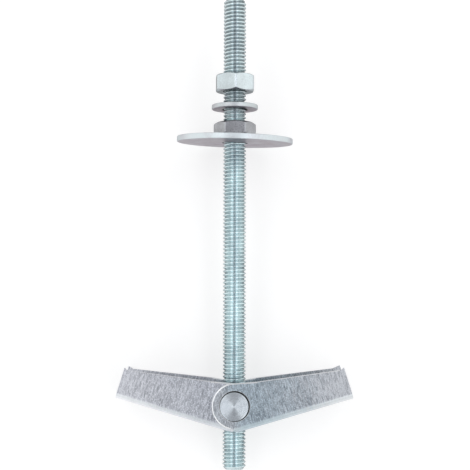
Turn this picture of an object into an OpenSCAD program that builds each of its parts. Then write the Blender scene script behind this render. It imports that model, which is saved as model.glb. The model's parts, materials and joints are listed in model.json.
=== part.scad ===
// Spring toggle bolt: a fully threaded rod with a two-winged sprung toggle, two hex nuts and two washers.
//
// The bolt frame has +z up the rod towards the nuts, y along the pivot pin, and its origin where the pin's
// axis crosses the rod's. Every piece is drawn in that frame, and at_rest() lays it on the floor as it would
// come to rest, on the wide washer's rim, one ear and one wing tip. All lengths are in millimetres.

/* [Rod] */
// Major diameter of the rod's thread
rod_d = 4.9; // [4.5:0.05:4.95]
// Length of the rod
rod_len = 101; // [95:0.5:180]
// Length of the rod below the pivot pin
rod_below = 13.5; // [8:0.5:30]
// Depth of the chamfer at each end of the rod, measured across
rod_chamfer = 0.65; // [0.2:0.05:0.9]
// Clearance all round the rod in a nut's thread and in the cross nut
thread_gap = 0.05; // [0.02:0.01:0.1]

/* [Nuts] */
// Width of a hex nut across its flats
nut_af = 8; // [7.5:0.1:9]
// Height of the outer nut
outer_nut_h = 3.7; // [2.7:0.1:5]
// Height of the thinner inner nut
inner_nut_h = 3; // [2.7:0.1:5]
// Diameter of the flat ring left on a nut's faces by its corner chamfers
nut_face_d = 7.7; // [7:0.1:8.2]
// Width of the countersink round a nut's thread
nut_sink = 0.25; // [0.1:0.05:0.5]
// Height of the outer nut's lower face above the small washer
outer_nut_gap = 2.84; // [1:0.1:10]
// Turn of the outer nut about the rod
outer_nut_turn = 33.5; // [0:0.5:59]
// Turn of the inner nut about the rod
inner_nut_turn = 1.5; // [0:0.5:59]

/* [Small washer] */
// Outside diameter of the small washer
small_washer_d = 10; // [8.5:0.1:12]
// Thickness of the small washer
small_washer_t = 1; // [0.5:0.1:2]
// Hole in the small washer
small_washer_hole = 5.3; // [5.2:0.05:5.8]
// Height of the small washer above the inner nut
small_washer_gap = 2.84; // [0.5:0.1:10]

/* [Wide washer] */
// Outside diameter of the wide washer
wide_washer_d = 25; // [18:0.5:32]
// Thickness of the wide washer
wide_washer_t = 1.2; // [0.8:0.1:2.5]
// Hole in the wide washer
wide_washer_hole = 5.5; // [5.3:0.05:6]
// Height of the wide washer's bearing face above the pivot pin
bearing_z = 56.2; // [50:0.05:60]
// Lean of the loose wide washer, down on the right wing's side
washer_lean = 1.4; // [0:0.1:3]
// Dip of the loose wide washer's near rim towards the wings
washer_dip = 2.9; // [0:0.1:4]
// Rounding of the washers' outer edges
washer_edge_r = 0.2; // [0.05:0.05:0.3]

/* [Wings] */
// Sheet thickness of the wings
sheet_t = 1; // [0.8:0.05:1.2]
// Outside width of a wing's channel
wing_w = 12.2; // [11.6:0.1:14]
// Length of a wing from its pivot hole to its tip
wing_len = 24.3; // [20:0.1:32]
// Distance of the channel's outer back from the pivot hole
back_drop = 5.44; // [5.3:0.02:6]
// Radius of the round ear about the pivot hole
ear_r = 4.8; // [4.6:0.05:5.2]
// Taper of the wall's top edge against the channel's back
wall_taper = 9.6; // [7:0.1:11]
// Outer radius of the channel's bends
bend_r = 1.3; // [1.1:0.05:1.6]
// Height of the small tooth at each top corner of the tip
tooth_h = 0.5; // [0.2:0.1:1.2]
// Length of the tooth along the top edge
tooth_len = 0.8; // [0.5:0.05:1.5]
// How far the tooth's point leans back from the end of the channel
tooth_rake = 0.12; // [0.02:0.02:0.4]
// How far an ear runs past the pin towards the other wing along the channel's back
ear_foot = 1.63; // [1.4:0.01:1.9]
// Rounding of the ear's foot at the end of the channel's back
foot_r = 0.9; // [0.5:0.05:1]
// Clearance of the notch in the backs round the rod
rod_notch_gap = 0.35; // [0.3:0.05:0.6]
// Slope of an open wing, up from square to the rod
open_angle = 16.4; // [10:0.1:25]
// Clearance between ears that lie side by side
ear_gap = 0.14; // [0.08:0.02:0.3]
// Gap between the two backs where they stop each other, open
stop_gap = 0.2; // [0.1:0.05:0.5]

/* [Pivot] */
// Diameter of the cross nut's two journals, which the ears turn on
journal_d = 6; // [5.6:0.1:6.2]
// Radial play of an ear's hole on its journal
journal_play = 0.2; // [0.1:0.02:0.24]
// Clearance left where the spring pushes an ear against its journal
journal_gap = 0.05; // [0.02:0.01:0.08]
// Direction in which the spring pushes a wing, up from straight outwards
push_angle = 42; // [20:1:70]
// Diameter of the cross nut's thick middle
drum_d = 8; // [7:0.1:8.4]
// Length of the cross nut's thick middle
drum_len = 5.9; // [5.4:0.1:6.2]
// Chamfer round the cross nut's turned ends
journal_chamfer = 0.2; // [0.05:0.05:0.4]

/* [Spring] */
// Wire diameter of the torsion spring
wire_d = 0.7; // [0.5:0.05:0.75]
// Clearance between the coils and the backs of the channels
coil_gap = 0.06; // [0.03:0.01:0.15]
// Clearance beside the coils, to the cross nut's middle and to the ears
coil_side_gap = 0.03; // [0.01:0.01:0.05]
// Length of a spring leg from where it leaves its coil
leg_len = 7; // [4:0.5:12]
// Radius of the bends in the bridge between the spring's two coils
bridge_r = 1.2; // [0.8:0.1:2]

/* [Hidden] */
$fn = 64;
// A hair's clearance, how far a cut runs past the face that it opens, and more than any size of a wing.
tiny = 0.02;
past = 1;
big = 100;

rod_r = rod_d / 2;
bore_r = rod_r + thread_gap;

// Heights along the rod, worked up from the wide washer's bearing face.
full_lean = acos(cos(washer_lean) * cos(washer_dip));
inner_nut_z = bearing_z + wide_washer_t / cos(full_lean) + nut_face_d / 2 * tan(full_lean) + tiny;
small_washer_z = inner_nut_z + inner_nut_h + small_washer_gap;
outer_nut_z = small_washer_z + small_washer_t + outer_nut_gap;

// The right wing lies nearer the viewer by ear_offset and the left one further, so that their ears nest.
ear_offset = (sheet_t + ear_gap) / 2;
half_stack = wing_w / 2 + ear_offset;
half_inside = half_stack - 2 * sheet_t - ear_gap;
hole_r = journal_d / 2 + journal_play;
back_inner = back_drop - sheet_t;
bend_inner_r = bend_r - sheet_t;
ear_shift = (journal_play - journal_gap) * [cos(push_angle), sin(push_angle)];

// The wall's straight top edge meets the round ear a hair inside its tangent, so that they cross cleanly.
wall_reach = ear_r - tiny;
function wall_top(u) = wall_reach / cos(wall_taper) - u * tan(wall_taper);

// The backs end where their inner corners meet above the rod's centre line, less half the stop's gap.
back_start = (stop_gap / 2 - ear_shift.x - back_inner * sin(open_angle)) / cos(open_angle);
rod_notch_w = rod_d + 2 * rod_notch_gap;
rod_notch_end = (rod_r + rod_notch_gap + back_drop * sin(open_angle)) / cos(open_angle) + rod_notch_gap;
// Folded, the other wing's wall crosses this back until its tapered edge drops below the back's inner face.
relief_end = (wall_top(0) - back_inner + 2 * norm(ear_shift) + ear_gap) / tan(wall_taper);

// How the bolt lies: the wide washer lifts the nuts' end, and the whole rolls onto the left wing's tip.
rim_r = wide_washer_d / 2 - washer_edge_r;
rim_y = rim_r * cos(washer_dip) - washer_edge_r * sin(washer_dip);
rim_z = bearing_z + rim_r * sin(washer_dip) + washer_edge_r * cos(washer_dip);
ear_low = ear_r - ear_shift.y;
rest_span = norm([rim_y - half_stack, rim_z + ear_low]);
rest_tilt = atan((rim_y - half_stack) / (rim_z + ear_low)) + asin(washer_edge_r / rest_span);
wall_low = back_drop - bend_r;
tip_x = wing_len * cos(open_angle) + wall_low * sin(open_angle);
tip_z = wing_len * sin(open_angle) - wall_low * cos(open_angle);
rest_roll = asin((tip_z + ear_low) * sin(rest_tilt) / tip_x);
rest_lift = washer_edge_r + rim_y * cos(rest_tilt) - rim_z * sin(rest_tilt);
rod_middle = rod_len / 2 - rod_below;

module at_rest() {
    translate([0, -rod_middle * cos(rest_tilt), rest_lift])
        rotate([rest_tilt - 90, 0, 0])
            rotate([0, 0, -rest_roll])
                children();
}

// ---- Rod ----

module threaded_rod() {
    color("lightsteelblue")
        at_rest()
            translate([0, 0, -rod_below])
                chamfered_bar(rod_r, rod_len, rod_chamfer);
}

module chamfered_bar(r, length, chamfer) {
    rotate_extrude()
        polygon([
            [0, 0], [r - chamfer, 0], [r, chamfer],
            [r, length - chamfer], [r - chamfer, length], [0, length]
        ]);
}

// ---- Nuts and washers ----

module outer_nut() {
    color("gainsboro")
        at_rest()
            translate([0, 0, outer_nut_z])
                rotate(outer_nut_turn)
                    hex_nut(outer_nut_h);
}

module inner_nut() {
    color("silver")
        at_rest()
            translate([0, 0, inner_nut_z])
                rotate(inner_nut_turn)
                    hex_nut(inner_nut_h);
}

module hex_nut(h) {
    corner_r = nut_af / 2 / cos(30);
    face_r = nut_face_d / 2;
    rise = (corner_r - face_r) * tan(30);
    difference() {
        intersection() {
            cylinder(h = h, r = corner_r, $fn = 6);
            rotate_extrude()
                polygon([
                    [0, 0], [face_r, 0], [corner_r, rise],
                    [corner_r, h - rise], [face_r, h], [0, h]
                ]);
        }
        translate([0, 0, -past])
            cylinder(h = h + 2 * past, r = bore_r);
        for (end = [0, 1])
            translate([0, 0, end * h])
                mirror([0, 0, end])
                    translate([0, 0, -tiny])
                        cylinder(h = nut_sink + tiny, r1 = bore_r + nut_sink + tiny, r2 = bore_r);
    }
}

module small_washer() {
    color("gainsboro")
        at_rest()
            translate([0, 0, small_washer_z])
                washer(small_washer_d, small_washer_hole, small_washer_t);
}

module wide_washer() {
    color("gainsboro")
        at_rest()
            translate([0, 0, bearing_z])
                rotate([washer_dip, 0, 0])
                    rotate([0, washer_lean, 0])
                        washer(wide_washer_d, wide_washer_hole, wide_washer_t);
}

// A blanked washer: its outer edges are rounded by tumbling and its hole is left sharp.
module washer(d, hole, t) {
    rotate_extrude() {
        translate([hole / 2, 0])
            square([(d - hole) / 2 - washer_edge_r, t]);
        translate([hole / 2, washer_edge_r])
            square([(d - hole) / 2, t - 2 * washer_edge_r]);
        for (z = [washer_edge_r, t - washer_edge_r])
            translate([d / 2 - washer_edge_r, z])
                circle(washer_edge_r);
    }
}

// ---- Cross nut ----

module cross_nut() {
    color("lightgray")
        at_rest()
            difference() {
                rotate([90, 0, 0])
                    rotate_extrude()
                        cross_nut_profile();
                translate([0, 0, -drum_d])
                    cylinder(h = 2 * drum_d, r = bore_r);
            }
}

module cross_nut_profile() {
    r = journal_d / 2;
    half = half_stack;
    drum = drum_len / 2;
    polygon([
        [0, -half], [r - journal_chamfer, -half], [r, journal_chamfer - half], [r, -drum],
        [drum_d / 2, -drum], [drum_d / 2, drum],
        [r, drum], [r, half - journal_chamfer], [r - journal_chamfer, half], [0, half]
    ]);
}

// ---- Wings ----
// A wing's own frame has u along its back away from the pivot, y along the pin and v up across the channel,
// with its origin in the middle of its pivot hole.

module right_wing() {
    color("silver")
        at_rest()
            placed_wing();
}

module left_wing() {
    color("silver")
        at_rest()
            rotate(180)
                placed_wing();
}

module placed_wing() {
    translate([ear_shift.x, -ear_offset, ear_shift.y])
        rotate([0, -open_angle, 0])
            wing();
}

module wing() {
    difference() {
        union() {
            channel();
            for (side = [-1, 1])
                translate([0, side * (wing_w - sheet_t) / 2, 0])
                    ear_lobe();
        }
        across(wing_w + 2 * past)
            circle(hole_r);
        back_end_cut();
        rod_notch();
        ear_relief();
    }
}

// The bent channel: the side outline carried across, cut to the rounded U section.
module channel() {
    intersection() {
        across(wing_w)
            side_outline();
        translate([-ear_foot, 0, 0])
            rotate([90, 0, 90])
                linear_extrude(wing_len + ear_foot + past)
                    u_section();
    }
}

// The part of the round ear that stands clear of the bend, as flat sheet.
module ear_lobe() {
    across(sheet_t)
        difference() {
            circle(ear_r);
            translate([-ear_foot, -big])
                square([big, big - wall_low]);
        }
}

module side_outline() {
    top_u = wall_reach * sin(wall_taper);
    tooth_u = wing_len - tooth_len;
    tip_u = wing_len - tooth_rake;
    circle(ear_r);
    translate([foot_r - ear_foot, foot_r - back_drop])
        circle(foot_r);
    polygon([
        [-ear_foot, 0], [-ear_foot, foot_r - back_drop], [foot_r - ear_foot, -back_drop],
        [wing_len, -back_drop], [tip_u, wall_top(tip_u) + tooth_h], [tooth_u, wall_top(tooth_u)],
        [top_u, wall_top(top_u)], [0, 0]
    ]);
}

module u_section() {
    difference() {
        round_bottom(wing_w, bend_r, -back_drop);
        round_bottom(wing_w - 2 * sheet_t, bend_inner_r, -back_inner);
    }
}

module round_bottom(w, r, bottom) {
    translate([-w / 2, bottom + r])
        square([w, 2 * ear_r + back_drop]);
    translate([r - w / 2, bottom])
        square([w - 2 * r, 2 * r]);
    for (side = [-1, 1])
        translate([side * (w / 2 - r), bottom + r])
            circle(r);
}

// Extrudes a side outline across the channel, about its middle.
module across(w) {
    rotate([90, 0, 0])
        linear_extrude(w, center = true)
            children();
}

// Cuts from the back a block from u0 to u1 and, across the channel, from y0 to y1.
module back_cut(u0, u1, y0, y1) {
    translate([u0, y0, -back_drop - past])
        cube([u1 - u0, y1 - y0, past + sheet_t + bend_inner_r + tiny]);
}

// Between its walls the back stops short, and butts against the other wing's back when open.
module back_end_cut() {
    inside = wing_w / 2 - sheet_t;
    back_cut(-big, back_start, -inside, inside);
}

// Clears the rod, which is off the channel's middle by the ears' offset.
module rod_notch() {
    back_cut(-big, rod_notch_end, ear_offset - rod_notch_w / 2, ear_offset + rod_notch_w / 2);
}

// Lets the other wing's inner ear and wall pass through the back as the wings fold.
module ear_relief() {
    inner_face = sheet_t - wing_w / 2;
    back_cut(-big, relief_end, inner_face, inner_face + sheet_t + 2 * ear_gap);
}

// ---- Spring ----
// One wire: a free leg on the left wing's back, a coil round the journal, a leg on the right wing's back,
// a bridge across to the other side of the rod, and the same again in mirror image.

coil_r = back_inner - ear_shift.y * cos(open_angle) - coil_gap - wire_d / 2 + ear_shift.x * sin(open_angle);
coil_start = -90 - open_angle;
coil_end = 270 + open_angle;
coil_steps = 36;
leg_inner_y = drum_len / 2 + coil_side_gap + wire_d / 2;
leg_outer_y = half_inside - coil_side_gap - wire_d / 2;
bend_steps = 5;
wire_sides = 10;

function on_coil(a, y) = [coil_r * cos(a), y, coil_r * sin(a)];
function coil_tangent(a) = [-sin(a), 0, cos(a)];
function unit(v) = v / norm(v);
function mirrored(p) = [p.x, -p.y, p.z];

// The nearer half of the wire, from the free leg's end to just short of the bridge's middle.
leg_dir = coil_tangent(coil_end);
bend_centre = on_coil(coil_end, bridge_r - leg_inner_y) + leg_len * leg_dir;
half_wire = concat(
    [on_coil(coil_start, -leg_outer_y) - leg_len * coil_tangent(coil_start)],
    [for (i = [0:coil_steps])
        on_coil(
            coil_start + (coil_end - coil_start) * i / coil_steps,
            -leg_outer_y + (leg_outer_y - leg_inner_y) * i / coil_steps
        )],
    [for (i = [0:bend_steps])
        bend_centre + bridge_r * (sin(90 * i / bend_steps) * leg_dir - [0, cos(90 * i / bend_steps), 0])]
);
far_half = [for (i = [len(half_wire) - 1:-1:0]) mirrored(half_wire[i])];
wire_path = concat(half_wire, far_half);

// Directions along a path, and a side vector carried along it without twist.
function path_dir(path, i) = unit(path[min(i + 1, len(path) - 1)] - path[max(i - 1, 0)]);
function carried(side, along) = unit(side - (side * along) * along);
function path_sides(path) = [
    for (i = 0, side = carried([0, 1, 0], path_dir(path, 0));
        i < len(path);
        i = i + 1, side = carried(side, path_dir(path, min(i, len(path) - 1))))
        side
];

module swept_wire(path, r, n) {
    sides = path_sides(path);
    last = len(path) - 1;
    points = [
        for (i = [0:last])
            let (along = path_dir(path, i), side = sides[i], other = cross(along, side))
            for (k = [0:n - 1])
                path[i] + r * (cos(360 * k / n) * side + sin(360 * k / n) * other)
    ];
    walls = [
        for (i = [0:last - 1])
            for (k = [0:n - 1])
                let (next = (k + 1) % n)
                [i * n + k, (i + 1) * n + k, (i + 1) * n + next, i * n + next]
    ];
    ends = [[for (k = [0:n - 1]) k], [for (k = [n - 1:-1:0]) last * n + k]];
    polyhedron(points, concat(walls, ends));
}

module torsion_spring() {
    color("dimgray")
        at_rest()
            swept_wire(wire_path, wire_d / 2, wire_sides);
}

threaded_rod();
outer_nut();
small_washer();
inner_nut();
wide_washer();
cross_nut();
torsion_spring();
left_wing();
right_wing();
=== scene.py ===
"""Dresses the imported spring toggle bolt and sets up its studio.

The rod gets its rolled thread, the nuts and washers their worn edges, the cross nut its
turned ends, the spring its wire, and the wings the edges that the press rolled over.
"""

import json
import logging
import math
from abc import ABC, abstractmethod
from contextlib import contextmanager
from dataclasses import dataclass, replace
from enum import Enum
from typing import Callable, Iterator, Optional, Sequence, Union

import bmesh
import bpy
import numpy as np
from bmesh.types import BMEdge, BMesh
from bpy.types import Material, Mesh, Node, NodeTree, Object
from mathutils import Euler, Matrix, Vector

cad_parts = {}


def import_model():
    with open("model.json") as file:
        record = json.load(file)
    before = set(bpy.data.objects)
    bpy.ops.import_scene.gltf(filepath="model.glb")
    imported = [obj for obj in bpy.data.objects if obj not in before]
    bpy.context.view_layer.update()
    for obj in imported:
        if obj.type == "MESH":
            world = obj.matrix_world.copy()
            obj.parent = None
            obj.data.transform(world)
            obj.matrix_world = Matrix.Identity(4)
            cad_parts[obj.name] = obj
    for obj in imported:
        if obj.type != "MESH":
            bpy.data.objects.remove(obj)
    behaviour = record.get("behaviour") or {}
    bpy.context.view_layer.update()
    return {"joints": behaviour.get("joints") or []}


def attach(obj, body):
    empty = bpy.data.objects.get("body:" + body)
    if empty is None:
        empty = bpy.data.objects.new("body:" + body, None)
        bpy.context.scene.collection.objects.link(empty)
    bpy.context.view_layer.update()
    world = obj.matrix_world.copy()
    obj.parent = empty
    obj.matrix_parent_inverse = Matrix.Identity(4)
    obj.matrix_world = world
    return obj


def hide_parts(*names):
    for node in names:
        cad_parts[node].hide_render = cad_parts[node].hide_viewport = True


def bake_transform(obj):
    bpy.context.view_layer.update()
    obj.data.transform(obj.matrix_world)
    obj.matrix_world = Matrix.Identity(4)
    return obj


LOG = logging.getLogger("toggle_bolt")
MM = 0.001
SLIVER = 0.0005 * MM  # the length, in metres, that counts as none
CREASE = 40.0  # the angle, in degrees, from which most parts' edges stay sharp
CHAMFER_SLOPE = math.sqrt(3.0)  # how far a nut's 30 degree chamfer runs out as it rises

Triple = tuple[float, float, float]
Colour = Triple
Span = tuple[float, float]
Section = list[Span]


# ---- Node trees ----


def operator(operation: str, flipped: bool = False) -> Callable[..., "Signal"]:
    """Makes an operator's method, which adds a Math node.

    Args:
        operation: The Math node's operation.
        flipped: Whether the signal comes after the other term.

    Returns:
        The method, from a signal and another term to the new signal.
    """
    if flipped:
        return lambda signal, other: signal.graph.math(operation, other, signal)
    return lambda signal, other: signal.graph.math(operation, signal, other)


@dataclass(frozen=True)
class Signal:
    """A socket of a node tree, on which Python's operators add Math nodes."""

    graph: "Graph"
    socket: bpy.types.NodeSocket

    __add__ = operator("ADD")
    __sub__ = operator("SUBTRACT")
    __mul__ = operator("MULTIPLY")
    __truediv__ = operator("DIVIDE")
    __pow__ = operator("POWER")
    __radd__ = operator("ADD", flipped=True)
    __rsub__ = operator("SUBTRACT", flipped=True)
    __rmul__ = operator("MULTIPLY", flipped=True)

    def __abs__(self) -> "Signal":
        """Drops the sign."""
        return self.graph.math("ABSOLUTE", self)

    def rises(self, low: float, high: float) -> "Signal":
        """Maps low..high to a smooth 0..1."""
        ends = {"Value": self, "From Min": low, "From Max": high}
        smooth = {"interpolation_type": "SMOOTHSTEP"}
        return self.graph.signal("ShaderNodeMapRange", ends, **smooth)

    def falls(self, low: float, high: float) -> "Signal":
        """Maps low..high to a smooth 1..0."""
        return 1.0 - self.rises(low, high)

    def reach(self, other: "Signal") -> "Signal":
        """Gives the length of two distances at right angles."""
        return (self * self + other * other) ** 0.5


Term = Union[Signal, float]
Tint = Union[Signal, Colour]


class Graph:
    """A shader or geometry node tree while it is being built."""

    def __init__(self, tree: NodeTree) -> None:
        """Starts on a tree, and empties it."""
        self.tree = tree
        tree.nodes.clear()

    def node(
        self, kind: str, inputs: Optional[dict] = None, **settings: object
    ) -> Node:
        """Adds a node.

        Args:
            kind: The node's type.
            inputs: Values or signals, by the socket's name or number.
            settings: Properties to set first, such as a Math node's operation.

        Returns:
            The new node.
        """
        made = self.tree.nodes.new(kind)
        for name, value in settings.items():
            setattr(made, name, value)
        for name, value in (inputs or {}).items():
            socket = made.inputs[name]
            if isinstance(value, Signal):
                self.tree.links.new(value.socket, socket)
            else:
                socket.default_value = value
        return made

    def out(self, node: Node, output: Union[str, int] = 0) -> Signal:
        """Wraps a node's output socket as a signal."""
        return Signal(self, node.outputs[output])

    def signal(
        self, kind: str, inputs: Optional[dict] = None, **settings: object
    ) -> Signal:
        """Adds a node, as node() does, and gives its first output."""
        return self.out(self.node(kind, inputs, **settings))

    def math(self, operation: str, *terms: Term) -> Signal:
        """Adds a Math node on the terms."""
        inputs = dict(enumerate(terms))
        return self.signal("ShaderNodeMath", inputs, operation=operation)

    def parts(self, vector: Signal) -> tuple[Signal, ...]:
        """Splits a vector into x, y and z."""
        split = self.node("ShaderNodeSeparateXYZ", {"Vector": vector})
        return tuple(self.out(split, axis) for axis in range(3))

    def vector(self, x: Term, y: Term, z: Term) -> Signal:
        """Joins x, y and z into a vector."""
        return self.signal("ShaderNodeCombineXYZ", {"X": x, "Y": y, "Z": z})

    def blend(self, factor: Term, low: Tint, high: Tint, mode: str = "MIX") -> Signal:
        """Mixes two colours.

        Args:
            factor: The share of the second colour, 0 to 1.
            low: The first colour.
            high: The second colour.
            mode: How they mix.

        Returns:
            The mixed colour.
        """
        low, high = (c if isinstance(c, Signal) else (*c, 1.0) for c in (low, high))
        inputs = {0: factor, 6: low, 7: high}
        settings = {"data_type": "RGBA", "blend_type": mode, "clamp_factor": True}
        return self.out(self.node("ShaderNodeMix", inputs, **settings), 2)

    def noise(
        self, where: Signal, scale: float, detail: float = 2.0, rough: float = 0.5
    ) -> Signal:
        """Adds noise of about 0.3 to 0.7, with its scale in lumps per unit of place."""
        inputs = {"Vector": where, "Scale": scale, "Detail": detail, "Roughness": rough}
        return self.signal("ShaderNodeTexNoise", inputs)

    def streaks(
        self, where: Signal, scales: Triple, detail: float = 2.0, rough: float = 0.5
    ) -> Signal:
        """Adds noise that has its own scale along each axis."""
        scaled = {0: where, 1: scales}
        place = self.signal("ShaderNodeVectorMath", scaled, operation="MULTIPLY")
        return self.noise(place, 1.0, detail, rough)

    def curve(self, step: Signal, values: Sequence[float]) -> Signal:
        """Reads a row of evenly spaced values, joined by straight lines.

        Args:
            step: Where to read, 0 to 1.
            values: The values.

        Returns:
            The value at the step.
        """
        node = self.node("ShaderNodeFloatCurve", {"Value": step})
        points = node.mapping.curves[0].points
        last = len(values) - 1
        for k in range(1, last):
            points.new(k / last, values[k])
        points[0].location = (0.0, values[0])
        points[-1].location = (1.0, values[-1])
        for point in points:
            point.handle_type = "VECTOR"
        node.mapping.update()
        return self.out(node)

    def local_place(self, place: Matrix) -> Signal:
        """Gives the surface's own point in a local frame's millimetres.

        Args:
            place: The matrix from the local frame to metres.

        Returns:
            The local point as a vector.
        """
        inverse = place.inverted()
        inputs = {
            "Vector": self.out(self.node("ShaderNodeTexCoord"), "Object"),
            "Location": inverse.to_translation(),
            "Rotation": inverse.to_3x3().normalized().to_euler(),
            "Scale": inverse.to_scale(),
        }
        return self.signal("ShaderNodeMapping", inputs, vector_type="POINT")


# ---- Finishes ----


# A dark colour for oil and dust, also used to paint shade into recesses and gaps.
DIRT_AND_SHADE: Colour = (0.05, 0.05, 0.052)
MIDDLE = 0.5  # the middle of a noise's range, and of a finish's two colours
REST = 0.35  # where the roughness lies in a finish's range before wear and grains
GRAIN_HEIGHT = 0.35  # how much the grains add to the relief


class Relief(Enum):
    """How a surface was made, which gives it its fine relief."""

    ROLLED = "rolled"
    FORGED = "forged"
    BLANKED = "blanked"
    TURNED = "turned"
    DRAWN = "drawn"
    SHEET = "sheet"


@dataclass(frozen=True)
class Wear:
    """What the way of making does to a surface, point by point.

    Attributes:
        tone: How far the colour moves from the duller to the brighter plating; on the
        wings it also paints light along the wing and a highlight on the bend.
        height: Height of the relief, about 0 to 1.
        shine: Added roughness, as a share of the finish's range.
        dirt_and_shade: Share of dark oil and dust, and of painted shade in thread
            roots,
        bores and the gaps between parts.
        bloom: Share of the finish's tarnish, which on the rod also tints the painted
        shade between the nuts.
    """

    tone: Signal
    height: Signal
    shine: Signal
    dirt_and_shade: Term = 0.0
    bloom: Term = 0.0


@dataclass(frozen=True)
class Making:
    """Works out the wear of a surface, by how it was made. Places are in millimetres.

    Attributes:
        graph: The shader tree.
        where: The surface's own point, in its piece's own frame or else in the bolt's.
        size: A washer's radius, half the pin's length or a wing's length.
    """

    graph: Graph
    where: Signal
    size: float

    def wear(self, relief: Relief) -> Wear:
        """Gives the wear of a way of making."""
        ways = {
            Relief.ROLLED: self.rolled,
            Relief.FORGED: self.forged,
            Relief.BLANKED: self.blanked,
            Relief.TURNED: self.turned,
            Relief.DRAWN: self.drawn,
            Relief.SHEET: self.sheet,
        }
        return ways[relief]()

    def rolled(self) -> Wear:
        """Thread rolling: burnished lines, roots darkened as dirt and painted shade,
        the rod darker higher up, and painted shade between the nuts.

        Returns:
            The rod's wear.
        """
        x, y, z = self.graph.parts(self.where)
        # Thread roots darkened, as dirt and as painted shade in the recess.
        root = x.reach(y).falls(2.04, 2.38)
        line = self.graph.streaks(self.where, (0.5, 0.5, 22.0))
        # Darker, with darker roots and a tint, higher up the rod.
        dull = z.rises(34.0, 54.0)
        top = z.rises(58.0, 74.0)
        # Painted shade of the nuts and washers on the rod between them.
        shade_between_parts = z.rises(58.5, 64.0) * z.falls(67.2, 68.2)
        return Wear(
            tone=(line - MIDDLE) * 0.4 + 0.23 - root * 0.2 - dull * 0.1 + top * 0.05,
            height=line,
            shine=root * 0.8,
            dirt_and_shade=root * (top * 0.32 + 0.03) + shade_between_parts * 0.2,
            bloom=top + shade_between_parts,
        )

    def forged(self) -> Wear:
        """Cold forming: faint die lines along the nut and small dings.

        Returns:
            A nut's wear.
        """
        x, y, _ = self.graph.parts(self.where)
        line = self.graph.streaks(self.where, (7.0, 7.0, 0.5))
        ding = self.graph.noise(self.where, 1.6, 1.0).rises(0.62, 0.72)
        # Painted shade in the bore, round the rod.
        bore = x.reach(y).falls(2.56, 2.7)
        return Wear(
            tone=(line - MIDDLE) * 0.35 - ding * 0.2,
            height=line * 0.6 - ding,
            shine=ding * 0.4,
            dirt_and_shade=bore * 0.8,
        )

    def blanked(self) -> Wear:
        """Blanking: a matt whitish sheared rim, and tumbled faces with fine scuffs.

        Returns:
            A washer's wear.
        """
        x, y, _ = self.graph.parts(self.where)
        radius = x.reach(y)
        rim = radius.rises(self.size - 0.24, self.size - 0.1)
        scuff = self.graph.streaks(self.where, (2.2, 6.0, 1.0), 3.0)
        # Painted shade in the hole, round the rod.
        bore = radius.falls(2.76, 2.9)
        return Wear(
            tone=(scuff - MIDDLE) * 0.5 + rim * 0.42,
            height=scuff,
            shine=(scuff - MIDDLE) * 0.5 + rim * 0.4,
            dirt_and_shade=bore * 0.9,
            bloom=1.0 - rim,
        )

    def turned(self) -> Wear:
        """Turning: fine rings round the pin, and painted shade that also stands for oil
        where the wings turn on it.

        Returns:
            The cross nut's wear.
        """
        x, y, z = self.graph.parts(self.where)
        radius = x.reach(z)
        ring = self.graph.noise(self.graph.vector(radius * 4.5, y * 2.0, 0.0), 1.0)
        end = abs(y).rises(self.size - 0.16, self.size - 0.08)
        # Painted shade on the journals inside the ears, which also stands for oil.
        shade_between_parts = (radius * -1.0).rises(-3.4, -3.1) * (1.0 - end)
        return Wear(
            tone=(ring - MIDDLE) * 0.6,
            height=ring,
            shine=(ring - MIDDLE) * 0.6,
            dirt_and_shade=shade_between_parts * 0.85,
        )

    def drawn(self) -> Wear:
        """Wire drawing: fine marks."""
        mark = self.graph.streaks(self.where, (1.2, 9.0, 1.2))
        swing = mark - MIDDLE
        return Wear(tone=swing * 0.5, height=mark, shine=swing * 0.4)

    def sheet(self) -> Wear:
        """Pressing: streaks across the wing, light flecks, painted light along it, a
        painted highlight on the bend, and painted shade, which also stands for oil,
        between the ears.

        Returns:
            A wing's wear.
        """
        x, y, z = self.graph.parts(self.where)
        depth = z * -1.0
        bend = depth.rises(4.1, 4.5) * depth.falls(5.3, 5.42)
        flat = 1.0 - bend * 0.85
        streak = self.graph.streaks(self.where, (2.3, 0.5, 0.42), rough=0.6) - MIDDLE
        line = self.graph.streaks(self.where, (7.0, 0.8, 0.9)) - MIDDLE
        fleck = self.graph.noise(self.where, 4.6, 1.0).rises(0.54, 0.64)
        radius = x.reach(z)
        ear = radius.falls(4.3, 5.4)
        heel = ear * x.falls(-2.0, 1.0)
        along = x / self.size
        marks = streak * (along * 0.3 + 0.3) + line * 2.0 + fleck * 0.55
        # Painted light: lighter towards the tip, as the light falls along the wing.
        slope = (along - 0.5) * 0.24 + along.rises(0.65, 1.0) * 0.12
        relief = (streak * 0.6 + line * 0.5) * flat
        # Painted shade round the pin between the ears, which also stands for oil.
        shade_between_parts = radius.falls(3.4, 3.6) * abs(y).falls(6.5, 6.6)
        return Wear(
            # Painted highlight: the bend is made lighter, as it catches the light from
            # below.
            tone=marks * flat + slope + bend * 0.25 + ear * 0.08 + heel * 0.08 - 0.05,
            height=relief,
            shine=relief,
            dirt_and_shade=shade_between_parts * 0.85,
            bloom=(along + streak * 0.6).falls(0.1, 0.95) * (1.0 - heel * 0.8),
        )


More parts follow.
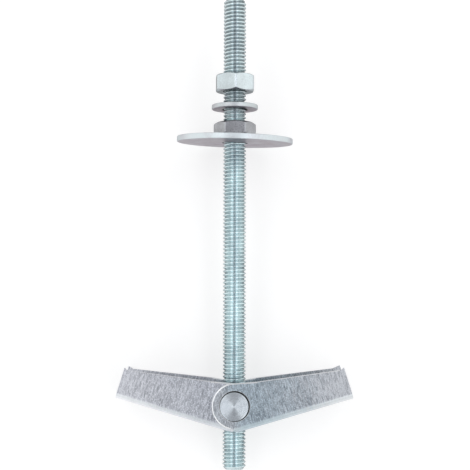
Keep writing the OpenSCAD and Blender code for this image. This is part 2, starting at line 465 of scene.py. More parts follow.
@dataclass(frozen=True)
class PlatedSteel:
    """Zinc plated steel, with cloudy plating and the relief of its making.

    Attributes:
        deep: Colour of the plating's duller places.
        bright: Colour of its brighter places.
        rough: Range of the roughness.
        cloud: Clouds of the plating per millimetre.
        grain: Grains of the plating per millimetre.
        mottle: How strongly the grains show in the colour.
        relief_depth: Depth of the relief, in millimetres.
        edge: How much the surface reflects when seen edge on.
        patchy: How strongly the clouds show in the colour.
        tarnish: Tint that the plating takes where it has tarnished, and which on the
        rod also tints the painted shade between the nuts.
    """

    name: str
    relief: Relief
    deep: Colour
    bright: Colour
    rough: Span
    cloud: float
    grain: float
    mottle: float
    relief_depth: float
    edge: float = 0.9
    patchy: float = 1.5
    tarnish: Colour = (1.0, 1.0, 1.0)

    def material(self, suffix: str, place: Matrix, size: float = 0.0) -> Material:
        """Makes the finish for one piece.

        Args:
            suffix: What tells this piece's copy of the material from others.
            place: The piece's local frame, from millimetres to metres.
            size: The size of the piece that its wear goes by, in millimetres.

        Returns:
            The material.
        """
        material = bpy.data.materials.new(f"{self.name}_{suffix}")
        material.use_nodes = True
        graph = Graph(material.node_tree)
        where = graph.local_place(place)
        cloud = graph.noise(where, self.cloud, 3.0, 0.55)
        grain = graph.noise(where, self.grain, 2.0, 0.6)
        wear = Making(graph, where, size).wear(self.relief)
        shade = MIDDLE + (cloud - MIDDLE) * self.patchy + (grain - MIDDLE) * self.mottle
        colour = graph.blend(shade + wear.tone, self.deep, self.bright)
        colour = graph.blend(wear.bloom, colour, self.tarnish, "MULTIPLY")
        # Darkens to the dark colour: oil and dust, and painted shade in recesses.
        colour = graph.blend(wear.dirt_and_shade, colour, DIRT_AND_SHADE)
        low, high = self.rough
        share = REST + (grain - MIDDLE) * 2.0 * self.mottle + wear.shine
        depth = {"Strength": 1.0, "Distance": self.relief_depth * MM}
        height = {"Height": wear.height + grain * GRAIN_HEIGHT}
        inputs = {
            "Base Color": colour,
            "Metallic": 1.0,
            "Roughness": low + (high - low) * share,
            "Specular Tint": (self.edge, self.edge, self.edge, 1.0),
            "Normal": graph.signal("ShaderNodeBump", depth | height),
        }
        surface = graph.signal("ShaderNodeBsdfPrincipled", inputs)
        graph.node("ShaderNodeOutputMaterial", {"Surface": surface})
        return material


ROD_ZINC = PlatedSteel(
    "zinc_rod", Relief.ROLLED, deep=(0.42, 0.50, 0.53), bright=(0.78, 0.91, 0.93),
    rough=(0.10, 0.24), cloud=0.25, grain=3.0, mottle=0.7, relief_depth=0.010,
    edge=0.4, tarnish=(0.97, 0.94, 0.94),
)
# The nut finish's lit copy: painted lighter than the lower nut's shaded copy.
UPPER_NUT_ZINC_LIT = PlatedSteel(
    "zinc_nut", Relief.FORGED, deep=(0.55, 0.59, 0.61), bright=(0.73, 0.80, 0.83),
    rough=(0.20, 0.34), cloud=0.4, grain=3.5, mottle=0.4, relief_depth=0.006,
    edge=0.3,
)
# The nut finish's shaded copy: painted darker, as shade on the lower nut.
LOWER_NUT_ZINC_SHADED = replace(
    UPPER_NUT_ZINC_LIT, deep=(0.30, 0.30, 0.31), bright=(0.49, 0.50, 0.52),
    rough=(0.25, 0.42), mottle=0.9, edge=0.5,
)
WIDE_WASHER_ZINC = PlatedSteel(
    "zinc_washer", Relief.BLANKED, deep=(0.50, 0.44, 0.48), bright=(0.71, 0.76, 0.78),
    rough=(0.26, 0.50), cloud=0.3, grain=3.0, mottle=0.7, relief_depth=0.012,
    edge=0.55, tarnish=(0.97, 0.90, 0.94),
)
SMALL_WASHER_ZINC = replace(
    WIDE_WASHER_ZINC, deep=(0.44, 0.38, 0.41), bright=(0.62, 0.66, 0.67)
)
TURNED_ZINC = PlatedSteel(
    "turned_steel", Relief.TURNED, deep=(0.45, 0.483, 0.508),
    bright=(0.645, 0.69, 0.72), rough=(0.18, 0.30), cloud=0.5, grain=4.0, mottle=0.25,
    relief_depth=0.004,
)
WIRE_STEEL = PlatedSteel(
    "spring_wire", Relief.DRAWN, deep=(0.24, 0.25, 0.27), bright=(0.48, 0.49, 0.51),
    rough=(0.22, 0.42), cloud=0.5, grain=5.0, mottle=0.6, relief_depth=0.006,
)
# The sheet's shaded copy: the right wing painted darker than the left.
RIGHT_SHEET_SHADED = PlatedSteel(
    "zinc_sheet", Relief.SHEET, deep=(0.28, 0.295, 0.315), bright=(0.77, 0.79, 0.81),
    rough=(0.27, 0.42), cloud=0.22, grain=3.6, mottle=0.3, relief_depth=0.009,
    patchy=0.5, tarnish=(0.84, 0.95, 1.0),
)
# The sheet's lit copy: the left wing painted lighter than the right.
LEFT_SHEET_LIT = replace(
    RIGHT_SHEET_SHADED, deep=(0.37, 0.38, 0.405), bright=(0.89, 0.90, 0.93),
    tarnish=(0.96, 0.98, 1.0),
)
# A near-white finish for the rolled edges, painted as a highlight along them.
ROLLED_EDGE_HIGHLIGHT = replace(
    RIGHT_SHEET_SHADED, deep=(0.84, 0.85, 0.86), bright=(0.95, 0.95, 0.95),
    rough=(0.27, 0.34), tarnish=(1.0, 1.0, 1.0),
)


# ---- Meshes ----


@dataclass(frozen=True)
class BoltFrame:
    """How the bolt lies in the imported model's frame.

    Attributes:
        turn: The bolt's x, y and z axes, as the columns of a matrix.
        pivot: Where the pin's axis crosses the rod's, in metres.
    """

    turn: Matrix
    pivot: Vector

    @classmethod
    def from_joints(cls, joints: Sequence[dict]) -> "BoltFrame":
        """Reads the frame off the joints' axes.

        Args:
            joints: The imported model's joints.

        Returns:
            The bolt's frame, with z up the rod and y along the pin.
        """
        named = {joint["name"]: joint for joint in joints}
        rod = Vector(named["toggle_travel"]["axis"]).normalized()
        fold = named["left_wing_fold"]
        pin = Vector(fold["axis"]).normalized()
        turn = Matrix((pin.cross(rod), pin, rod)).transposed()
        return cls(turn, Vector(fold["pos_m"]))

    def matrix(self, local: Optional[Matrix] = None) -> Matrix:
        """Gives the matrix to metres from the bolt's or a local frame's millimetres."""
        bolt = Matrix.Translation(self.pivot) @ self.turn.to_4x4() @ Matrix.Scale(MM, 4)
        return bolt @ local if local else bolt


def upright(height: float) -> Matrix:
    """Gives a frame at a height up the rod, in millimetres."""
    return Matrix.Translation((0.0, 0.0, height))


def mirrored(point: Vector) -> Vector:
    """Mirrors a point of the bolt's frame to the pin's other end."""
    return Vector((point.x, -point.y, point.z))


@contextmanager
def edited(mesh: Mesh) -> Iterator[BMesh]:
    """Opens a mesh to be edited, and then writes it back.

    Args:
        mesh: The mesh.

    Yields:
        Its editable form.
    """
    work = bmesh.new()
    work.from_mesh(mesh)
    yield work
    work.to_mesh(mesh)
    work.free()


def set_shading(mesh: Mesh, crease: float = CREASE) -> None:
    """Turns a closed mesh's faces outwards, and shades them smooth.

    Args:
        mesh: The mesh.
        crease: The angle, in degrees, from which an edge stays sharp.
    """
    with edited(mesh) as work:
        bmesh.ops.dissolve_degenerate(work, dist=SLIVER, edges=work.edges)
        bmesh.ops.recalc_face_normals(work, faces=work.faces)
        for face in work.faces:
            face.smooth = True
        for edge in work.edges:
            edge.smooth = edge.calc_face_angle(math.pi) < math.radians(crease)


def linked(name: str, data: bpy.types.ID) -> Object:
    """Makes an object of some data, and links it to the scene."""
    made = bpy.data.objects.new(name, data)
    bpy.context.scene.collection.objects.link(made)
    return made


def piece_from(
    name: str, mesh: Mesh, material: Material, crease: float = CREASE
) -> Object:
    """Makes a finished object from a closed mesh that is already in place.

    Args:
        name: The piece's name.
        mesh: Its mesh, in metres.
        material: Its finish.
        crease: The angle, in degrees, from which an edge stays sharp.

    Returns:
        The new object.
    """
    set_shading(mesh, crease)
    mesh.materials.clear()
    mesh.materials.append(material)
    return linked(name, mesh)


def turned_mesh(name: str, sections: Sequence[Section], place: Matrix) -> Mesh:
    """Makes the mesh that joins a section at each of many angles about z.

    Args:
        name: The mesh's name.
        sections: For each angle, pairs of radius and height in millimetres, which run
            from axis to axis or else round a ring.
        place: The local frame, as the matrix to metres.

    Returns:
        The mesh, in metres.
    """
    columns = len(sections)
    angles = [2 * math.pi * k / columns for k in range(columns)]
    solid = sections[0][0][0] == 0.0
    levels = list(zip(*sections))
    rings = levels[1:-1] if solid else levels
    points = [
        (radius * math.cos(a), radius * math.sin(a), height)
        for ring in rings
        for a, (radius, height) in zip(angles, ring)
    ]
    faces = []
    for row in range(len(rings) - solid):
        here, above = row * columns, (row + 1) % len(rings) * columns
        for k in range(columns):
            step = (k + 1) % columns
            faces.append((here + k, here + step, above + step, above + k))
    if solid:
        last, foot, head = len(points) - columns, len(points), len(points) + 1
        points += [(0.0, 0.0, levels[0][0][1]), (0.0, 0.0, levels[-1][0][1])]
        for k in range(columns):
            step = (k + 1) % columns
            faces += [(foot, step, k), (head, last + k, last + step)]
    mesh = bpy.data.meshes.new(name)
    mesh.from_pydata(points, [], faces)
    mesh.transform(place)
    return mesh


def quarter_arc(centre: Span, radius: float, start: float, steps: int) -> Section:
    """Gives a quarter of a circle, as a part of a section.

    Args:
        centre: The circle's centre, as radius and height.
        radius: The circle's own radius.
        start: The first angle, in degrees.
        steps: The number of chords.

    Returns:
        The quarter's points.
    """
    across, up = centre
    turns = np.radians(np.linspace(start, start + 90.0, steps + 1))
    return [(across + radius * math.cos(a), up + radius * math.sin(a)) for a in turns]


def evaluated_mesh(holder: Object) -> Mesh:
    """Applies an object's modifiers, and removes the object.

    Args:
        holder: The object with its modifiers.

    Returns:
        A plain mesh of the result.
    """
    graph = bpy.context.evaluated_depsgraph_get()
    mesh = bpy.data.meshes.new_from_object(
        holder.evaluated_get(graph), preserve_all_data_layers=True, depsgraph=graph
    )
    bpy.data.objects.remove(holder)
    return mesh


# ---- Geometry node trees ----


class GrownTree:
    """A geometry node tree with an input for each of its values, run on a mesh."""

    def __init__(self, name: str, values: dict[str, object]) -> None:
        """Makes the tree's interface.

        Args:
            name: The tree's name.
            values: The inputs' values, by name: numbers and a material.
        """
        self.tree = bpy.data.node_groups.new(name, "GeometryNodeTree")
        face = self.tree.interface
        face.new_socket("Geometry", in_out="INPUT", socket_type="NodeSocketGeometry")
        face.new_socket("Geometry", in_out="OUTPUT", socket_type="NodeSocketGeometry")
        kinds = {float: "Float", int: "Int", Material: "Material"}
        self.values = {}
        for label, value in values.items():
            kind = f"NodeSocket{kinds[type(value)]}"
            socket = face.new_socket(label, in_out="INPUT", socket_type=kind)
            self.values[socket.identifier] = value
        self.graph = Graph(self.tree)
        self.entry = self.graph.node("NodeGroupInput")

    def given(self, label: str) -> Signal:
        """Gives an input as a signal."""
        return self.graph.out(self.entry, label)

    def close(self, geometry: Signal) -> None:
        """Ends the tree in Realize Instances and Set Material.

        Args:
            geometry: The finished geometry.
        """
        smooth = self.graph.signal("GeometryNodeSetShadeSmooth", {0: geometry})
        real = self.graph.signal("GeometryNodeRealizeInstances", {0: smooth})
        inputs = {"Geometry": real, "Material": self.given("Material")}
        dressed = self.graph.signal("GeometryNodeSetMaterial", inputs)
        self.graph.node("NodeGroupOutput", {0: dressed})

    def grow(self, seed: Mesh) -> Mesh:
        """Runs the tree.

        Args:
            seed: The mesh that the tree starts from.

        Returns:
            The grown mesh.
        """
        holder = linked("holder", seed)
        modifier = holder.modifiers.new("grow", "NODES")
        modifier.node_group = self.tree
        for identifier, value in self.values.items():
            modifier[identifier] = value
        return evaluated_mesh(holder)


def thread_tree(values: dict[str, object], profile: Section) -> GrownTree:
    """Builds the tree that winds a thread form round the rod.

    Args:
        values: The tree's inputs.
        profile: The thread form over one pitch, as phase and height, both 0 to 1.

    Returns:
        The tree, whose result runs a little past both ends of the rod.
    """
    tree = GrownTree("rolled_thread", values)
    graph, given = tree.graph, tree.given
    turns, pitch = given("Turns"), given("Pitch")
    lower, upper = given("Lower end"), given("Upper end")
    crest, root = given("Crest radius"), given("Root radius")
    inputs = {
        "Size X": turns,
        "Size Y": 1.0,
        "Vertices X": turns * given("Steps round") + 1.0,
        "Vertices Y": len(profile),
    }
    grid = graph.signal("GeometryNodeMeshGrid", inputs)
    along, across, _ = graph.parts(graph.signal("GeometryNodeInputPosition"))
    turn = along + turns * 0.5
    step = across + 0.5
    phase = graph.curve(step, [phase for phase, _ in profile])
    height = graph.curve(step, [height for _, height in profile])
    angle = graph.math("FRACT", turn) * (2 * math.pi)
    level = lower + pitch * (turn + phase - given("Lead in"))
    radius = root + (crest - root) * height
    for bevel in (level - lower, upper - level):
        radius = graph.math("MINIMUM", radius, given("End radius") + bevel)
    radius = graph.math("MAXIMUM", radius, given("Core radius"))
    wound = graph.vector(
        radius * graph.math("COSINE", angle), radius * graph.math("SINE", angle), level
    )
    moved = graph.signal("GeometryNodeSetPosition", {0: grid, "Position": wound})
    inputs = {0: moved, "Distance": given("Weld")}
    tree.close(graph.signal("GeometryNodeMergeByDistance", inputs))
    return tree


def wire_tree(values: dict[str, object]) -> GrownTree:
    """Builds the tree that draws round wire.

    Args:
        values: The tree's inputs.

    Returns:
        The tree, which starts from a path of edges.
    """
    tree = GrownTree("drawn_wire", values)
    graph = tree.graph
    path = graph.signal("GeometryNodeMeshToCurve", {0: tree.given("Geometry")})
    inputs = {"Resolution": tree.given("Sides"), "Radius": tree.given("Wire radius")}
    ring = graph.signal("GeometryNodeCurvePrimitiveCircle", inputs)
    inputs = {0: path, 1: ring, "Fill Caps": True}
    tree.close(graph.signal("GeometryNodeCurveToMesh", inputs))
    return tree


# ---- The bolt's parts ----


@dataclass
class Part(ABC):
    """A part of the bolt, which holds its sizes in millimetres and degrees."""

    frame: BoltFrame

    @abstractmethod
    def build(self) -> list[Object]:
        """Makes the part's pieces and dresses them; most seat them on their bodies."""


@dataclass
class DressedPart(Part):
    """A part of one named piece, which replaces a node and rides a body of its own."""

    name: str
    node: str
    body: str
    finish: PlatedSteel


@dataclass
class ThreadedRod(Part):
    """The rod, with its rolled thread wound as a true helix."""

    major_d: float = 4.9
    root_d: float = 4.08
    pitch: float = 0.8
    length: float = 101.0
    below_pin: float = 13.5
    end_chamfer: float = 0.65
    core_r: float = 0.4
    lead_in: float = 1.5
    spare_turns: int = 2
    steps_round: int = 36
    weld: float = 0.002
    crease: float = 70.0
    thread_form: tuple[Span, ...] = (
        (0.0, 0.0), (0.05, 0.03), (0.1, 0.13), (0.25, 0.56), (0.395, 0.955),
        (0.435, 0.995), (0.5, 1.0), (0.565, 0.995), (0.605, 0.955), (0.75, 0.56),
        (0.9, 0.13), (0.95, 0.03), (1.0, 0.0),
    )

    def build(self) -> list[Object]:
        """Winds the thread, cuts its ends flat and dresses it.

        Returns:
            The rod.
        """
        place = self.frame.matrix()
        finish = ROD_ZINC.material("thread", place)
        ends = (-self.below_pin, self.length - self.below_pin)
        values = {
            "Pitch": self.pitch,
            "Crest radius": self.major_d / 2,
            "Root radius": self.root_d / 2,
            "Lower end": ends[0],
            "Upper end": ends[1],
            "End radius": self.major_d / 2 - self.end_chamfer,
            "Core radius": self.core_r,
            "Lead in": self.lead_in,
            "Weld": self.weld,
            "Turns": math.ceil(self.length / self.pitch) + self.spare_turns,
            "Steps round": self.steps_round,
            "Material": finish,
        }
        tree = thread_tree(values, self.thread_form)
        wound = tree.grow(bpy.data.meshes.new("thread_seed"))
        self.trim(wound, ends)
        wound.transform(place)
        piece = piece_from("rolled_rod", wound, finish, self.crease)
        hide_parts("threaded_rod")
        return [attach(piece, "rod")]

    def trim(self, mesh: Mesh, ends: Span) -> None:
        """Cuts the wound thread square at both ends and closes it.

        Args:
            mesh: The wound thread, in the bolt's millimetres.
            ends: The heights of the two ends.
        """
        with edited(mesh) as work:
            for height, outwards in zip(ends, (-1.0, 1.0)):
                cut = bmesh.ops.bisect_plane(
                    work,
                    geom=work.verts[:] + work.edges[:] + work.faces[:],
                    plane_co=(0.0, 0.0, height),
                    plane_no=(0.0, 0.0, outwards),
                    clear_outer=True,
                )
                rim = [g for g in cut["geom_cut"] if isinstance(g, BMEdge)]
                bmesh.ops.edgeloop_fill(work, edges=rim)


@dataclass
class HexNut(DressedPart):
    """A chamfered hex nut with softly rounded corners."""

    bottom: float
    height: float
    turn: float
    across_flats: float = 8.0
    face_d: float = 7.7
    face_inset: float = 0.07
    bore_r: float = 2.5
    sink: float = 0.25
    land: float = 0.5
    corner_r: float = 0.42
    soft: float = 0.1
    columns: int = 144
    crease: float = 42.0
    levels: tuple[float, ...] = (
        0.0, 0.02, 0.06, 0.11, 0.17, 0.23, 0.3, 0.37, 0.45, 0.55, 0.75,
    )

    def wall_radius(self, angle: float) -> float:
        """Gives the distance from the axis to the rounded hexagon.

        Args:
            angle: The direction, in radians from a corner.

        Returns:
            The radius.
        """
        half = self.across_flats / 2
        sector = math.pi / 3
        off_corner = (angle + sector / 2) % sector - sector / 2
        off_flat = sector / 2 - abs(off_corner)
        if math.tan(off_flat) * half <= (half - self.corner_r) * math.tan(sector / 2):
            return half / math.cos(off_flat)
        centre = (half - self.corner_r) / math.cos(sector / 2)
        slack = self.corner_r**2 - (centre * math.sin(off_corner)) ** 2
        return centre * math.cos(off_corner) + math.sqrt(max(slack, 0.0))

    def section(self, angle: float) -> Section:
        """Gives the nut's section, with its countersinks and chamfers.

        Args:
            angle: The direction, in radians from a corner.

        Returns:
            The section, from the bore's foot round to its head.
        """
        lip = self.bore_r + self.sink
        rows: Section = [(self.bore_r, self.sink), (lip, 0.0), (lip + self.land, 0.0)]
        rows.append((self.face_d / 2 - self.face_inset, 0.0))
        wall = self.wall_radius(angle)
        for level in self.levels:
            cone = self.face_d / 2 + CHAMFER_SLOPE * level
            near = max(self.soft - abs(cone - wall), 0.0)
            rows.append((min(cone, wall) - near * near / (4 * self.soft), level))
        return rows + [(r, self.height - level) for r, level in reversed(rows)]

    def build(self) -> list[Object]:
        """Makes the nut and dresses it.

        Returns:
            The nut.
        """
        angles = [2 * math.pi * k / self.columns for k in range(self.columns)]
        sections = [self.section(angle) for angle in angles]
        spin = Matrix.Rotation(math.radians(self.turn), 4, "Z")
        place = self.frame.matrix(upright(self.bottom) @ spin)
        mesh = turned_mesh(self.name, sections, place)
        finish = self.finish.material(self.name, place)
        piece = piece_from(self.name, mesh, finish, self.crease)
        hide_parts(self.node)
        return [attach(piece, self.body)]


@dataclass
class Washer(DressedPart):
    """A blanked washer with rounded outer edges."""

    outside_d: float
    hole_d: float
    thickness: float
    bottom: float
    lean: float = 0.0
    dip: float = 0.0
    edge_r: float = 0.2
    edge_steps: int = 5
    lip: float = 0.06
    columns: int = 160
    crease: float = 50.0

    def build(self) -> list[Object]:
        """Makes the washer and dresses it.

        Returns:
            The washer.
        """
        hole, rim = self.hole_d / 2, self.outside_d / 2
        top, edge = self.thickness, self.edge_r
        mid = (hole + rim) / 2
        section: Section = [(hole, top - self.lip), (hole, self.lip)]
        section += [(hole + self.lip, 0.0), (mid, 0.0)]
        section += quarter_arc((rim - edge, edge), edge, -90.0, self.edge_steps)
        section += quarter_arc((rim - edge, top - edge), edge, 0.0, self.edge_steps)
        section += [(mid, top), (hole + self.lip, top)]
        tilt = Euler((math.radians(self.dip), 0.0, 0.0)).to_matrix().to_4x4()
        tilt = tilt @ Matrix.Rotation(math.radians(self.lean), 4, "Y")
        place = self.frame.matrix(upright(self.bottom) @ tilt)
        mesh = turned_mesh(self.name, [section] * self.columns, place)
        finish = self.finish.material(self.name, place, rim)
        piece = piece_from(self.name, mesh, finish, self.crease)
        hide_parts(self.node)
        return [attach(piece, self.body)]


@dataclass
class CrossNut(Part):
    """The turned cross nut that the rod screws through."""

    journal_d: float = 6.0
    drum_d: float = 8.0
    drum_len: float = 5.9
    drum_chamfer: float = 0.15
    stack: float = 13.34
    chamfer: float = 0.08
    bore_r: float = 2.5
    bore_columns: int = 96
    ring_pitch: float = 0.2
    ring_depth: float = 0.036
    steps_a_ring: int = 4
    columns: int = 128

    def end_face(self) -> Section:
        """Gives the turned end's rings, from the middle out.

        Returns:
            The section, with heights from the end's plane.
        """
        radius = self.journal_d / 2 - self.chamfer
        steps = int(radius / self.ring_pitch) * self.steps_a_ring
        rows = []
        for k in range(steps + 1):
            wave = math.cos(2 * math.pi * k / self.steps_a_ring)
            rows.append((radius * k / steps, -self.ring_depth * (1 - wave) / 2))
        return rows

    def build(self) -> list[Object]:
        """Turns the cross nut, bores it and dresses it.

        Returns:
            The cross nut.
        """
        half, drum = self.stack / 2, self.drum_len / 2
        journal, thick, bevel = self.journal_d / 2, self.drum_d / 2, self.drum_chamfer
        lower: Section = [(r, -half - sink) for r, sink in self.end_face()]
        lower += [(journal, self.chamfer - half), (journal, -drum)]
        lower += [(thick - bevel, -drum), (thick, bevel - drum)]
        section = lower + [(r, -level) for r, level in reversed(lower)]
        place = self.frame.matrix()
        along_pin = self.frame.matrix(Matrix.Rotation(math.radians(90.0), 4, "X"))
        turned = turned_mesh("cross_nut", [section] * self.columns, along_pin)
        reach, bore = self.drum_d, self.bore_r
        wall: Section = [(0.0, -reach), (bore, -reach), (bore, reach), (0.0, reach)]
        drill = turned_mesh("bore", [wall] * self.bore_columns, place)
        for mesh in (turned, drill):
            set_shading(mesh)
        holder, cutter = linked("holder", turned), linked("cutter", drill)
        cut = holder.modifiers.new("bore", "BOOLEAN")
        cut.operation, cut.solver, cut.object = "DIFFERENCE", "EXACT", cutter
        bored = evaluated_mesh(holder)
        bpy.data.objects.remove(cutter)
        finish = TURNED_ZINC.material("ends", place, half)
        piece = piece_from("turned_cross_nut", bored, finish)
        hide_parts("cross_nut")
        return [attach(piece, "toggle")]


class EdgeZone(Enum):
    """Parts of a wing's outline, by how far the press rolled their edges over."""

    HOLE = "hole"
    EAR = "ear"
    OUTLINE = "outline"
    AS_CUT = "as cut"


@dataclass
class ToggleWing(DressedPart):
    """A pressed channel wing, with the shape of the solid and its edges rolled over.

    The wing's own frame has x along its back, away from the pin, and z up its walls.

    Attributes:
        side: 1 for the wing on the bolt's positive x side, or else -1.
        notch_x: The middle of the rod's notch, which stays as cut, as the tip does.
        edge_from: A point of the walls' free edge, which runs on at edge_slope.
        near_drop: How far the near wall's edge is lowered, before and past edge_knee.
        far_rise: How far the far wall's edge is raised, before and past edge_knee.
        tooth_run: How much longer the far wall's tooth is, which starts at tooth_base.
        slack: How near a point must be to count as there.
    """

    side: float
    open_angle: float = 16.4
    wing_len: float = 24.3
    edge_roll: float = 0.27
    edge_break: float = 0.13
    hole_break: float = 0.05
    tip_len: float = 1.2
    ear_end: float = 5.5
    hole_reach: float = 3.7
    notch_x: float = 3.2
    notch_half: float = 5.0
    notch_top: float = -3.5
    edge_from: Span = (1.36, 4.70)
    edge_slope: float = -0.16876
    edge_knee: float = 6.0
    near_drop: Span = (0.26, 0.08)
    far_rise: Span = (0.26, 0.0)
    tooth_base: float = 23.64
    tooth_run: float = 0.4
    slack: float = 0.1
    flat_angle: float = 1.0
    sharp_angle: float = 35.0
    bevel_steps: int = 3
    weld: float = 0.001

    def build(self) -> list[Object]:
        """Rolls the wing's edges over, with a painted highlight, and dresses it.

        Returns:
            The wing.
        """
        spin = Matrix.Rotation(0.0 if self.side > 0 else math.pi, 4, "Z")
        slope = Matrix.Rotation(-math.radians(self.open_angle), 4, "Y")
        place = self.frame.matrix(spin @ slope)
        mesh = bpy.data.objects[self.node].data.copy()
        mesh.materials.clear()
        # The second material paints a highlight on the rolled edges.
        for suffix, finish in (("", self.finish), ("_edge", ROLLED_EDGE_HIGHLIGHT)):
            name = self.name + suffix
            mesh.materials.append(finish.material(name, place, self.wing_len))
        self.soften(mesh, place)
        holder = linked("holder", mesh)
        holder.modifiers.new("weigh", "WEIGHTED_NORMAL").keep_sharp = True
        piece = linked(self.name, evaluated_mesh(holder))
        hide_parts(self.node)
        return [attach(piece, self.body)]

    def zone_of(self, edge: BMEdge, local: Matrix) -> EdgeZone:
        """Tells which part of the wing's outline an edge is on.

        Args:
            edge: The edge.
            local: The matrix from metres to the wing's own millimetres.

        Returns:
            Its zone.
        """
        ends = [local @ vert.co for vert in edge.verts]
        middle = (ends[0] + ends[1]) / 2
        off_notch = abs(max(point.x for point in ends) - self.notch_x)
        low = min(point.z for point in ends) < self.notch_top
        if (
            edge.calc_face_angle(0.0) < math.radians(self.sharp_angle)
            or any(face.material_index for face in edge.link_faces)
            or (low and off_notch < self.notch_half)
            or middle.x > self.wing_len - self.tip_len
        ):
            return EdgeZone.AS_CUT
        if middle.xz.length < self.hole_reach:
            return EdgeZone.HOLE
        return EdgeZone.EAR if middle.x < self.ear_end else EdgeZone.OUTLINE

    def soften(self, mesh: Mesh, place: Matrix) -> None:
        """Joins the mesh up and rounds its sharp edges, zone by zone.

        Args:
            mesh: The wing's mesh, in metres, with the painted edge highlight second.
            place: The wing's local frame, from millimetres to metres.
        """
        local = place.inverted()
        widths = {
            EdgeZone.HOLE: self.hole_break,
            EdgeZone.EAR: self.edge_roll,
            EdgeZone.OUTLINE: self.edge_break,
        }
        with edited(mesh) as work:
            bmesh.ops.remove_doubles(work, verts=work.verts, dist=self.weld * MM)
            flat = math.radians(self.flat_angle)
            bmesh.ops.dissolve_limit(
                work, angle_limit=flat, verts=work.verts, edges=work.edges
            )
            self.trim_edges(work, place, local)
            # The rounded edges take the second material, the painted highlight.
            for zone, width in widths.items():
                chosen = [e for e in work.edges if self.zone_of(e, local) is zone]
                bmesh.ops.bevel(
                    work, geom=chosen, offset=width * MM, offset_type="OFFSET",
                    segments=self.bevel_steps, profile=0.5, affect="EDGES",
                    clamp_overlap=False, miter_outer="ARC", material=1,
                )
        set_shading(mesh, self.sharp_angle)

    def trim_edges(self, work: BMesh, place: Matrix, local: Matrix) -> None:
        """Sets the near side's free edge a little lower, and the far side's higher.

        Args:
            work: The wing's mesh.
            place: The matrix from the wing's own millimetres to metres.
            local: Its inverse.
        """
        bmesh.ops.bisect_plane(
            work,
            geom=work.verts[:] + work.edges[:] + work.faces[:],
            dist=SLIVER,
            plane_co=place @ Vector((self.edge_knee, 0.0, 0.0)),
            plane_no=place.to_3x3() @ Vector((1.0, 0.0, 0.0)),
        )
        start, top = self.edge_from
        back = Vector((-1.0, 0.0, -self.edge_slope)) * self.tooth_run
        for vert in work.verts:
            point = local @ vert.co
            past_knee = point.x - self.edge_knee
            edge = top + (point.x - start) * self.edge_slope
            if past_knee < -self.slack or point.z < edge - self.slack:
                continue
            tip = past_knee > self.slack
            near = point.y * self.side < 0
            lift = -self.near_drop[tip] if near else self.far_rise[tip]
            move = Vector((0.0, 0.0, lift))
            if not near and abs(point.x - self.tooth_base) < self.slack:
                move += back
            vert.co = place @ (point + move)


@dataclass
class TorsionSpring(Part):
    """The double torsion spring round the journals."""

    wire_r: float = 0.35
    coil_r: float = 3.9
    inner_y: float = 3.33
    outer_y: float = 4.5
    leg_len: float = 7.0
    bridge_r: float = 1.2
    open_angle: float = 16.4
    coil_top: float = 90.0
    coil_steps: int = 34
    leg_steps: int = 6
    bend_steps: int = 8
    sides: int = 16
    crease: float = 60.0

    def coil(self, start: float, end: float) -> list[Vector]:
        """Gives a stretch of the near coil.

        Args:
            start: Its first angle, in degrees.
            end: Its last angle, in degrees.

        Returns:
            Its points.
        """
        first, last = self.coil_ends()
        run = []
        for angle in np.linspace(start, end, self.coil_steps + 1):
            share = (angle - first) / (last - first)
            y = -self.outer_y + (self.outer_y - self.inner_y) * share
            a = math.radians(angle)
            across, up = self.coil_r * math.cos(a), self.coil_r * math.sin(a)
            run.append(Vector((across, y, up)))
        return run

    def coil_ends(self) -> Span:
        """Gives the angles, in degrees, at which the near coil begins and ends."""
        return -90.0 - self.open_angle, 270.0 + self.open_angle

    def leg(self, start: Vector, side: float) -> list[Vector]:
        """Gives the straight leg in a wing, from its coil on, for side 1 or -1."""
        run = self.leg_way(side) * self.leg_len
        return [start + run * k / self.leg_steps for k in range(1, self.leg_steps + 1)]

    def leg_way(self, side: float) -> Vector:
        """Gives the way in which the leg in a wing points, for side 1 or -1."""
        slope = math.radians(self.open_angle)
        return Vector((side * math.cos(slope), 0.0, math.sin(slope)))

    def paths(self) -> tuple[list[Vector], list[Vector]]:
        """Gives the wire's path, split at the top of each coil.

        Returns:
            The near free leg with the first half of its coil, and the wire from the
            near coil's top by way of the bridge to the far coil's top.
        """
        start, end = self.coil_ends()
        left, near = self.coil(start, self.coil_top), self.coil(self.coil_top, end)
        left = self.leg(left[0], -1.0)[::-1] + left
        near += self.leg(near[-1], 1.0)
        centre = near[-1] + Vector((0.0, self.bridge_r, 0.0))
        for k in range(1, self.bend_steps + 1):
            a = math.pi / 2 * k / self.bend_steps
            turned = self.leg_way(1.0) * math.sin(a) - Vector((0.0, math.cos(a), 0.0))
            near.append(centre + turned * self.bridge_r)
        return left, near + [mirrored(p) for p in reversed(near)]

    def build(self) -> list[Object]:
        """Draws the wire in three lengths.

        Returns:
            The three lengths.
        """
        place = self.frame.matrix()
        finish = WIRE_STEEL.material("wire", place)
        values = {"Wire radius": self.wire_r, "Sides": self.sides, "Material": finish}
        tree = wire_tree(values)
        left, right = self.paths()
        runs = (
            ("spring_left_near", left, "left_wing_body", -1.0),
            ("spring_left_far", [mirrored(p) for p in left], "left_wing_body", -1.0),
            ("spring_right", right, "right_wing_body", 1.0),
        )
        slope = math.radians(self.open_angle)
        pieces = []
        for name, path, body, side in runs:
            seed = bpy.data.meshes.new(name)
            edges = [(k, k + 1) for k in range(len(path) - 1)]
            seed.from_pydata(path, edges, [])
            mesh = tree.grow(seed)
            mesh.transform(place)
            piece = piece_from(name, mesh, finish, self.crease)
            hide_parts("torsion_spring")
            down = Vector((side * math.sin(slope), 0.0, -math.cos(slope))) * self.coil_r
            place @ -down
            place @ down
            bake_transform(piece)
            pieces.append(piece)
        return pieces


# ---- The studio ----


